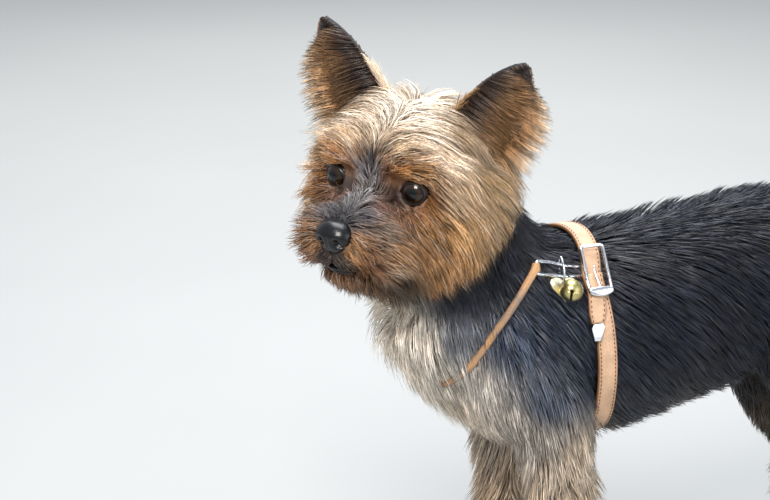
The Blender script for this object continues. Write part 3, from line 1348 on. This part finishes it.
class Strap:
    """The girth strap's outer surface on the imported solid, by angle from level left up over the back."""

    PLACES = 144

    def __init__(self):
        solid = NODES["girth_strap"].data
        points = (coordinates(solid) - np.array(SHIFT)) / MM
        solid.calc_loop_triangles()
        tree = BVHTree.FromPolygons(points.tolist(), [tuple(t.vertices) for t in solid.loop_triangles])
        self.radii = []
        for i in range(self.PLACES):
            way = self.way(360 * i / self.PLACES)
            zero = Vector((girth_x(GIRTH_CENTRE + 50 * way.z), 0, GIRTH_CENTRE))
            hit, _, _, _ = tree.ray_cast(zero + way * 120, -way)
            self.radii.append((hit - zero).length)
        for _ in range(3):
            ahead = self.radii[1:] + self.radii[:1]
            behind = self.radii[-1:] + self.radii[:-1]
            self.radii = [(a + 2 * r + b) / 4 for a, r, b in zip(behind, self.radii, ahead)]

    @staticmethod
    def way(angle):
        """The way outward from the strap's centre at an angle."""
        turn = math.radians(angle)
        return Vector((0, -math.cos(turn), math.sin(turn)))

    def point(self, angle, height, across=0.0):
        """A point at a height over the strap's outer surface, across from its middle line."""
        share = (angle * self.PLACES / 360) % self.PLACES
        i = int(share)
        radius = self.radii[i] * (1 - (share - i)) + self.radii[(i + 1) % self.PLACES] * (share - i)
        level = Vector((0, 0, GIRTH_CENTRE)) + self.way(angle) * radius
        point = level + self.way(angle) * height
        return Vector((girth_x(level.z) + across, point.y, point.z))


# A strap's section, from one edge over the top to the other: place across as a share of the half width,
# and height as a share of the thickness, with a groove for each row of stitches.
STRAP_SECTION = (
    (-0.9, 0.0), (-1.0, 0.2), (-1.0, 0.72), (-0.95, 0.9), (-0.84, 0.95), (-0.74, 0.84), (-0.64, 0.96),
    (-0.34, 1.04), (0.0, 1.06), (0.34, 1.04), (0.64, 0.96), (0.74, 0.84), (0.84, 0.95), (0.95, 0.9),
    (1.0, 0.72), (1.0, 0.2), (0.9, 0.0),
)
STITCH_ROW = 0.74


def add_strap(name, strap, angles, base, thickness, half_width, slide, material, thread):
    """A stitched leather strap along the girth line, with its stitches as a piece of their own."""
    first, last = angles
    loop = abs(last - first) == 360
    count = max(int(abs(last - first) / 1.5), 8)

    def place(share, across, height):
        """A point of the strap: share of its length, share of its half width, share of its thickness."""
        half = half_width(share) if callable(half_width) else half_width
        aside = slide[0] + (slide[1] - slide[0]) * share
        return strap.point(first + (last - first) * share, base + height * thickness, aside + half * across)

    bm = bmesh.new()
    rings = [[place(i / count, a, h) for a, h in STRAP_SECTION] for i in range(count + (0 if loop else 1))]
    add_loft(bm, rings, closed=loop)
    piece = new_object(f"{name}_leather", mesh_from(bm, name))
    order = np.tile(np.abs([a for a, _ in STRAP_SECTION]), len(rings))
    paint(piece.data, between((0.60, 0.39, 0.25), (0.30, 0.15, 0.06), eased(order, 0.78, 0.97)))
    finish_piece(piece, material, [name])

    bm = bmesh.new()
    length = sum((place((i + 1) / 60, 0, 1) - place(i / 60, 0, 1)).length for i in range(60))
    stitches = int(length / 2.5)
    for row in (-STITCH_ROW, STITCH_ROW):
        for k in range(stitches):
            share = (k + 0.5) / stitches
            here, ahead = place(share, row, 0.93), place(share + 0.002, row, 0.93)
            turn = (ahead - here).to_track_quat("X", "Z").to_matrix().to_4x4()
            add_ellipsoid(bm, here, (0.85, 0.3, 0.3), turn, 8)
    finish_piece(new_object(f"{name}_stitches", mesh_from(bm, "stitches")), thread)


def strap_end_half(share):
    """Half the strap end's width, narrower towards its metal tip."""
    return STRAP_END_WIDTH / 2 * min(0.72 + 1.2 * share, 1.0)


def add_tube(bm, path, radius, closed=False, sides=14):
    """A round tube along a path; radius is one number, or one for each point."""
    count = len(path)
    radii = radius if isinstance(radius, (list, tuple)) else [radius] * count
    side = None
    rings = []
    for i, point in enumerate(path):
        near, far = (i - 1, (i + 1) % count) if closed else (max(i - 1, 0), min(i + 1, count - 1))
        ahead = (path[far] - path[near]).normalized()
        side = ahead.orthogonal() if side is None else side
        side = (side - ahead * side.dot(ahead)).normalized()
        rings.append(ring_of(point, side, ahead.cross(side), radii[i], radii[i], count=sides))
    add_loft(bm, rings, closed=closed)


def rounded_outline(half_long, half_wide, corner, steps=7):
    """A rectangle's outline with round corners."""
    points = []
    for a, b, start in ((1, 1, 0), (-1, 1, 90), (-1, -1, 180), (1, -1, 270)):
        for k in range(steps):
            turn = math.radians(start + 90 * k / (steps - 1))
            x, y = half_long - corner, half_wide - corner
            points.append((a * x + corner * math.cos(turn), b * y + corner * math.sin(turn)))
    return points


def add_buckle(strap, metal):
    """The buckle's wire frame, its curved plate below and its prong."""
    low, high = BUCKLE_ANGLES
    middle, half = (low + high) / 2, (high - low) / 2
    level = STRAP_END_LIFT + STRAP_END_THICKNESS + 0.3 + BUCKLE_WIRE + 0.2
    per_angle = (strap.point(high, level) - strap.point(low, level)).length / (high - low)
    bm = bmesh.new()
    outline = rounded_outline(half * per_angle, BUCKLE_HALF_WIDTH, 1.8)
    path = [strap.point(middle + a / per_angle, level, b) for a, b in outline]
    pairs = [(a, b) for a, b in zip(path, path[1:] + path[:1]) if (b - a).length > 0.01]
    dense = [a.lerp(b, k / 3) for a, b in pairs for k in range(3)]
    add_tube(bm, dense, BUCKLE_WIRE, closed=True)
    rings = []
    for k in range(21):
        across = (k / 10 - 1) * (BUCKLE_HALF_WIDTH + 0.5)
        bow = 1 - (k / 10 - 1) ** 2
        tall = (1.4 + 1.2 * bow) / per_angle
        centre = strap.point(low - 0.2 - bow * 0.7 / per_angle, level + 0.15 + 0.25 * bow, across)
        upward = strap.point(low + 1, level, across) - strap.point(low, level, across)
        out = strap.way(low)
        rings.append(ring_of(centre, out, upward.normalized(), 0.8 + 0.25 * bow, tall * per_angle, 2.6, 16))
    add_loft(bm, rings)
    prong = [strap.point(low + half * 1.1 * k / 8, level - 0.2 + 0.25 * math.sin(k)) for k in range(9)]
    add_tube(bm, prong, [0.8 - 0.04 * k for k in range(9)])
    finish_piece(new_object("buckle_metal", mesh_from(bm, "buckle")), metal, ["buckle"])


def leather_material(name, painted, colours, scale, bump):
    """Leather with worn and darker patches, and a grain."""
    material, tree, shader = new_material(name)
    grain = noise(tree, scale, 6.0)
    wear = noise(tree, 90.0, 3.0)
    tone = ramped(tree, wear, (0.35, colours[0]), (0.65, colours[1]))
    if painted:
        tone = mixed(tree, 1.0, painted_colour(tree), tone, "MULTIPLY")
    toned(tree, shader, tone, grain, (0.3, 0.82), (0.7, 1.1))
    tree.links.new(ramped(tree, grain, (0.3, 0.42), (0.7, 0.6)), shader.inputs["Roughness"])
    bumped(tree, shader, grain, bump, 0.0003)
    return material


def metal_material(name, pale, dark, roughness, scale=260.0, painted=False):
    """Metal with faint scratches and stains."""
    material, tree, shader = new_material(name)
    stains = noise(tree, scale, 5.0)
    tone = ramped(tree, stains, (0.35, dark), (0.62, pale))
    if painted:
        tone = mixed(tree, 1.0, painted_colour(tree), tone, "MULTIPLY")
    tree.links.new(tone, shader.inputs["Base Color"])
    dull = ramped(tree, stains, (0.3, roughness * 1.7), (0.7, roughness))
    tree.links.new(dull, shader.inputs["Roughness"])
    set_shader(shader, Metallic=1.0)
    bumped(tree, shader, noise(tree, scale * 5, 3.0, (1, 1, 6)), 0.12, 0.0001)
    return material


def finished(name, material, edge=0.0, thicker=0.0):
    """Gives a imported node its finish: rounded all over, or only along its edges, and thicker where asked."""
    node = NODES[name]
    node.data.materials.clear()
    node.data.materials.append(material)
    weld = node.modifiers.new("weld", "WELD")
    weld.merge_threshold = 0.00002
    if edge:
        bevel = node.modifiers.new("edges", "BEVEL")
        bevel.width = edge * MM
        bevel.segments = 3
        bevel.limit_method = "ANGLE"
        bevel.angle_limit = math.radians(35)
    else:
        rounded = node.modifiers.new("rounded", "SUBSURF")
        rounded.levels = rounded.render_levels = 2
        node.modifiers.new("shading", "SMOOTH").iterations = 2
    if thicker:
        thick = node.modifiers.new("thicker", "DISPLACE")
        thick.strength = thicker * MM
        thick.mid_level = 0.0


def add_bell(metal):
    """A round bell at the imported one's place, with a seam round it and a slit that ends in a hole."""
    low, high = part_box("bell")
    centre = ((low + high) / 2 - SHIFT) / MM
    up = Vector((0.18, 0.0, 1.0)).normalized()
    front = (CAMERA_BACK - up * CAMERA_BACK.dot(up)).normalized()
    across = up.cross(front)
    bm = bmesh.new()
    bmesh.ops.create_uvsphere(bm, u_segments=96, v_segments=64, radius=1)
    mesh = mesh_from(bm, "bell")
    p = unit(coordinates(mesh))
    slit = (1 - eased(np.abs(p[:, 1]), 0.05, 0.10)) * eased(-p[:, 2], -0.12, -0.02)
    hole = 1 - eased(np.hypot(p[:, 1], p[:, 2] - 0.10), 0.13, 0.2) * (p[:, 0] > 0) - 1.0 * (p[:, 0] <= 0)
    inside = np.clip(np.maximum(slit, hole), 0, 1)
    seam = np.exp(-((p[:, 2] / 0.045) ** 2)) * 0.035
    radius = (high - low)[0] / MM / 2 * (1 + seam - 0.4 * inside)
    axes = np.array([front, across, up])
    set_coordinates(mesh, (p * radius[:, None]) @ axes + np.array(centre))
    paint(mesh, np.ones((len(p), 3)) * (1 - 0.97 * inside)[:, None])
    finish_piece(new_object("bell_shell", mesh), metal, ["bell"])


def add_harness():
    """The straps and buckle made anew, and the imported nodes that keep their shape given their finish."""
    strap = Strap()
    leather = leather_material("strap_leather", True, ((0.82, 0.80, 0.78), (1.12, 1.08, 1.05)), 1400.0, 0.4)
    rolled = leather_material("rolled_leather", False, ((0.20, 0.15, 0.12), (0.46, 0.25, 0.11)), 1100.0, 0.6)
    thread = plain_material("thread", (0.16, 0.055, 0.03), 0.7)
    metal = metal_material("bright_metal", (0.86, 0.88, 0.92), (0.62, 0.64, 0.68), 0.14)
    gold = metal_material("tag_metal", (0.92, 0.86, 0.66), (0.78, 0.70, 0.50), 0.3)
    brass = metal_material("bell_metal", (0.66, 0.56, 0.26), (0.34, 0.29, 0.12), 0.24, 160.0, True)
    add_strap(
        "girth_strap", strap, (0, 360), -GIRTH_THICKNESS, GIRTH_THICKNESS, GIRTH_HALF_WIDTH, (0, 0),
        leather, thread,
    )
    add_strap(
        "strap_end", strap, STRAP_END_ANGLES, STRAP_END_LIFT, STRAP_END_THICKNESS, strap_end_half,
        (STRAP_END_SLIDE, 0), leather, thread,
    )
    add_buckle(strap, metal)
    finished("chest_strap", rolled)
    for word in SIDES:
        finished(f"link_{word}", metal, thicker=0.35)
    finished("split_ring", metal, thicker=0.1)
    finished("strap_tip", metal, edge=0.35)
    finished("tag", gold, edge=0.3)
    add_bell(brass)


def add_stage():
    """A plain pale floor, soft lights and the camera."""
    bm = bmesh.new()
    for x in (-30, 30):
        for y in (-30, 30):
            bm.verts.new((x, y, 0))
    bmesh.ops.convex_hull(bm, input=bm.verts)
    floor = new_object("floor", mesh_from(bm, "floor"))
    floor.data.shade_smooth()
    material, tree, shader = new_material("floor")
    shade = ramped(tree, noise(tree, 3.0, 2.0), (0.3, (0.40, 0.405, 0.40)), (0.7, (0.42, 0.425, 0.42)))
    tree.links.new(shade, shader.inputs["Base Color"])
    set_shader(shader, Roughness=0.7)
    floor.data.materials.append(material)

    target = placed((-80, 0, 190))
    lights = (
        ("key", (-0.75, -0.9, 1.25), 0.55, 25, (1.0, 0.97, 0.93)),
        ("fill", (0.9, -1.3, 0.6), 1.2, 10, (0.90, 0.95, 1.0)),
        ("top", (0.1, 0.35, 1.5), 1.0, 23, (0.93, 0.96, 1.0)),
        ("back", (0.5, 1.4, 0.9), 0.8, 9, (1.0, 0.98, 0.95)),
    )
    for name, place, size, power, colour in lights:
        data = bpy.data.lights.new(name, "AREA")
        data.size, data.energy, data.color = size, power, colour
        light = new_object(name, data)
        light.location = Vector(place)
        light.rotation_euler = (target - light.location).to_track_quat("-Z", "Y").to_euler()
    world = bpy.data.worlds.new("studio")
    bpy.context.scene.world = world
    world.use_nodes = True
    back = next(node for node in world.node_tree.nodes if node.type == "BACKGROUND")
    back.inputs[0].default_value = (0.88, 0.93, 1.0, 1)
    back.inputs[1].default_value = 0.62
    bpy.context.scene.view_settings.view_transform = "Standard"

    data = bpy.data.cameras.new("camera")
    data.lens, data.sensor_width = LENS, 36
    camera = new_object("camera", data)
    up = CAMERA_BACK.cross(CAMERA_RIGHT).normalized()
    centre = EYE_MIDDLE - CAMERA_RIGHT * EYES_RIGHT_OF_CENTRE - up * EYES_ABOVE_CENTRE
    place = placed(centre + CAMERA_BACK * CAMERA_DISTANCE)
    turn = Matrix((CAMERA_RIGHT, up, CAMERA_BACK)).transposed().to_4x4()
    camera.matrix_world = Matrix.Translation(place) @ turn
    bpy.context.scene.camera = camera


FLESH = ["head", "jaw", "neck", "torso", "tail"]
FLESH += [f"{part}_{word}" for part in ("foreleg", "hindleg", "forepaw", "hindpaw") for word in SIDES]


def build():
    """The skin, the coat, the face, the harness and the stage."""
    skin = body_skin()
    ground = Ground(skin.data)
    paint(skin.data, marking(coordinates(skin.data)) * 0.72)
    finish_piece(skin, skin_material(), FLESH)
    hair = coat_material("hair", 0.38, 700.0)
    add_coat(ground, hair)
    dark = plain_material("claw", (0.02, 0.017, 0.016), 0.35)
    lids = coat_material("lids", 0.3, 1200.0)
    eye = eye_material()
    nose = nose_material()
    for word, side in SIDES.items():
        add_ear(word, side, skin_material())
        add_ear_coat(word, side, hair)
        add_eye(word, side, eye)
        add_lids(word, side, lids)
    add_nose(nose)
    add_lips(nose)
    add_claws(dark)
    add_harness()
    add_stage()


build()
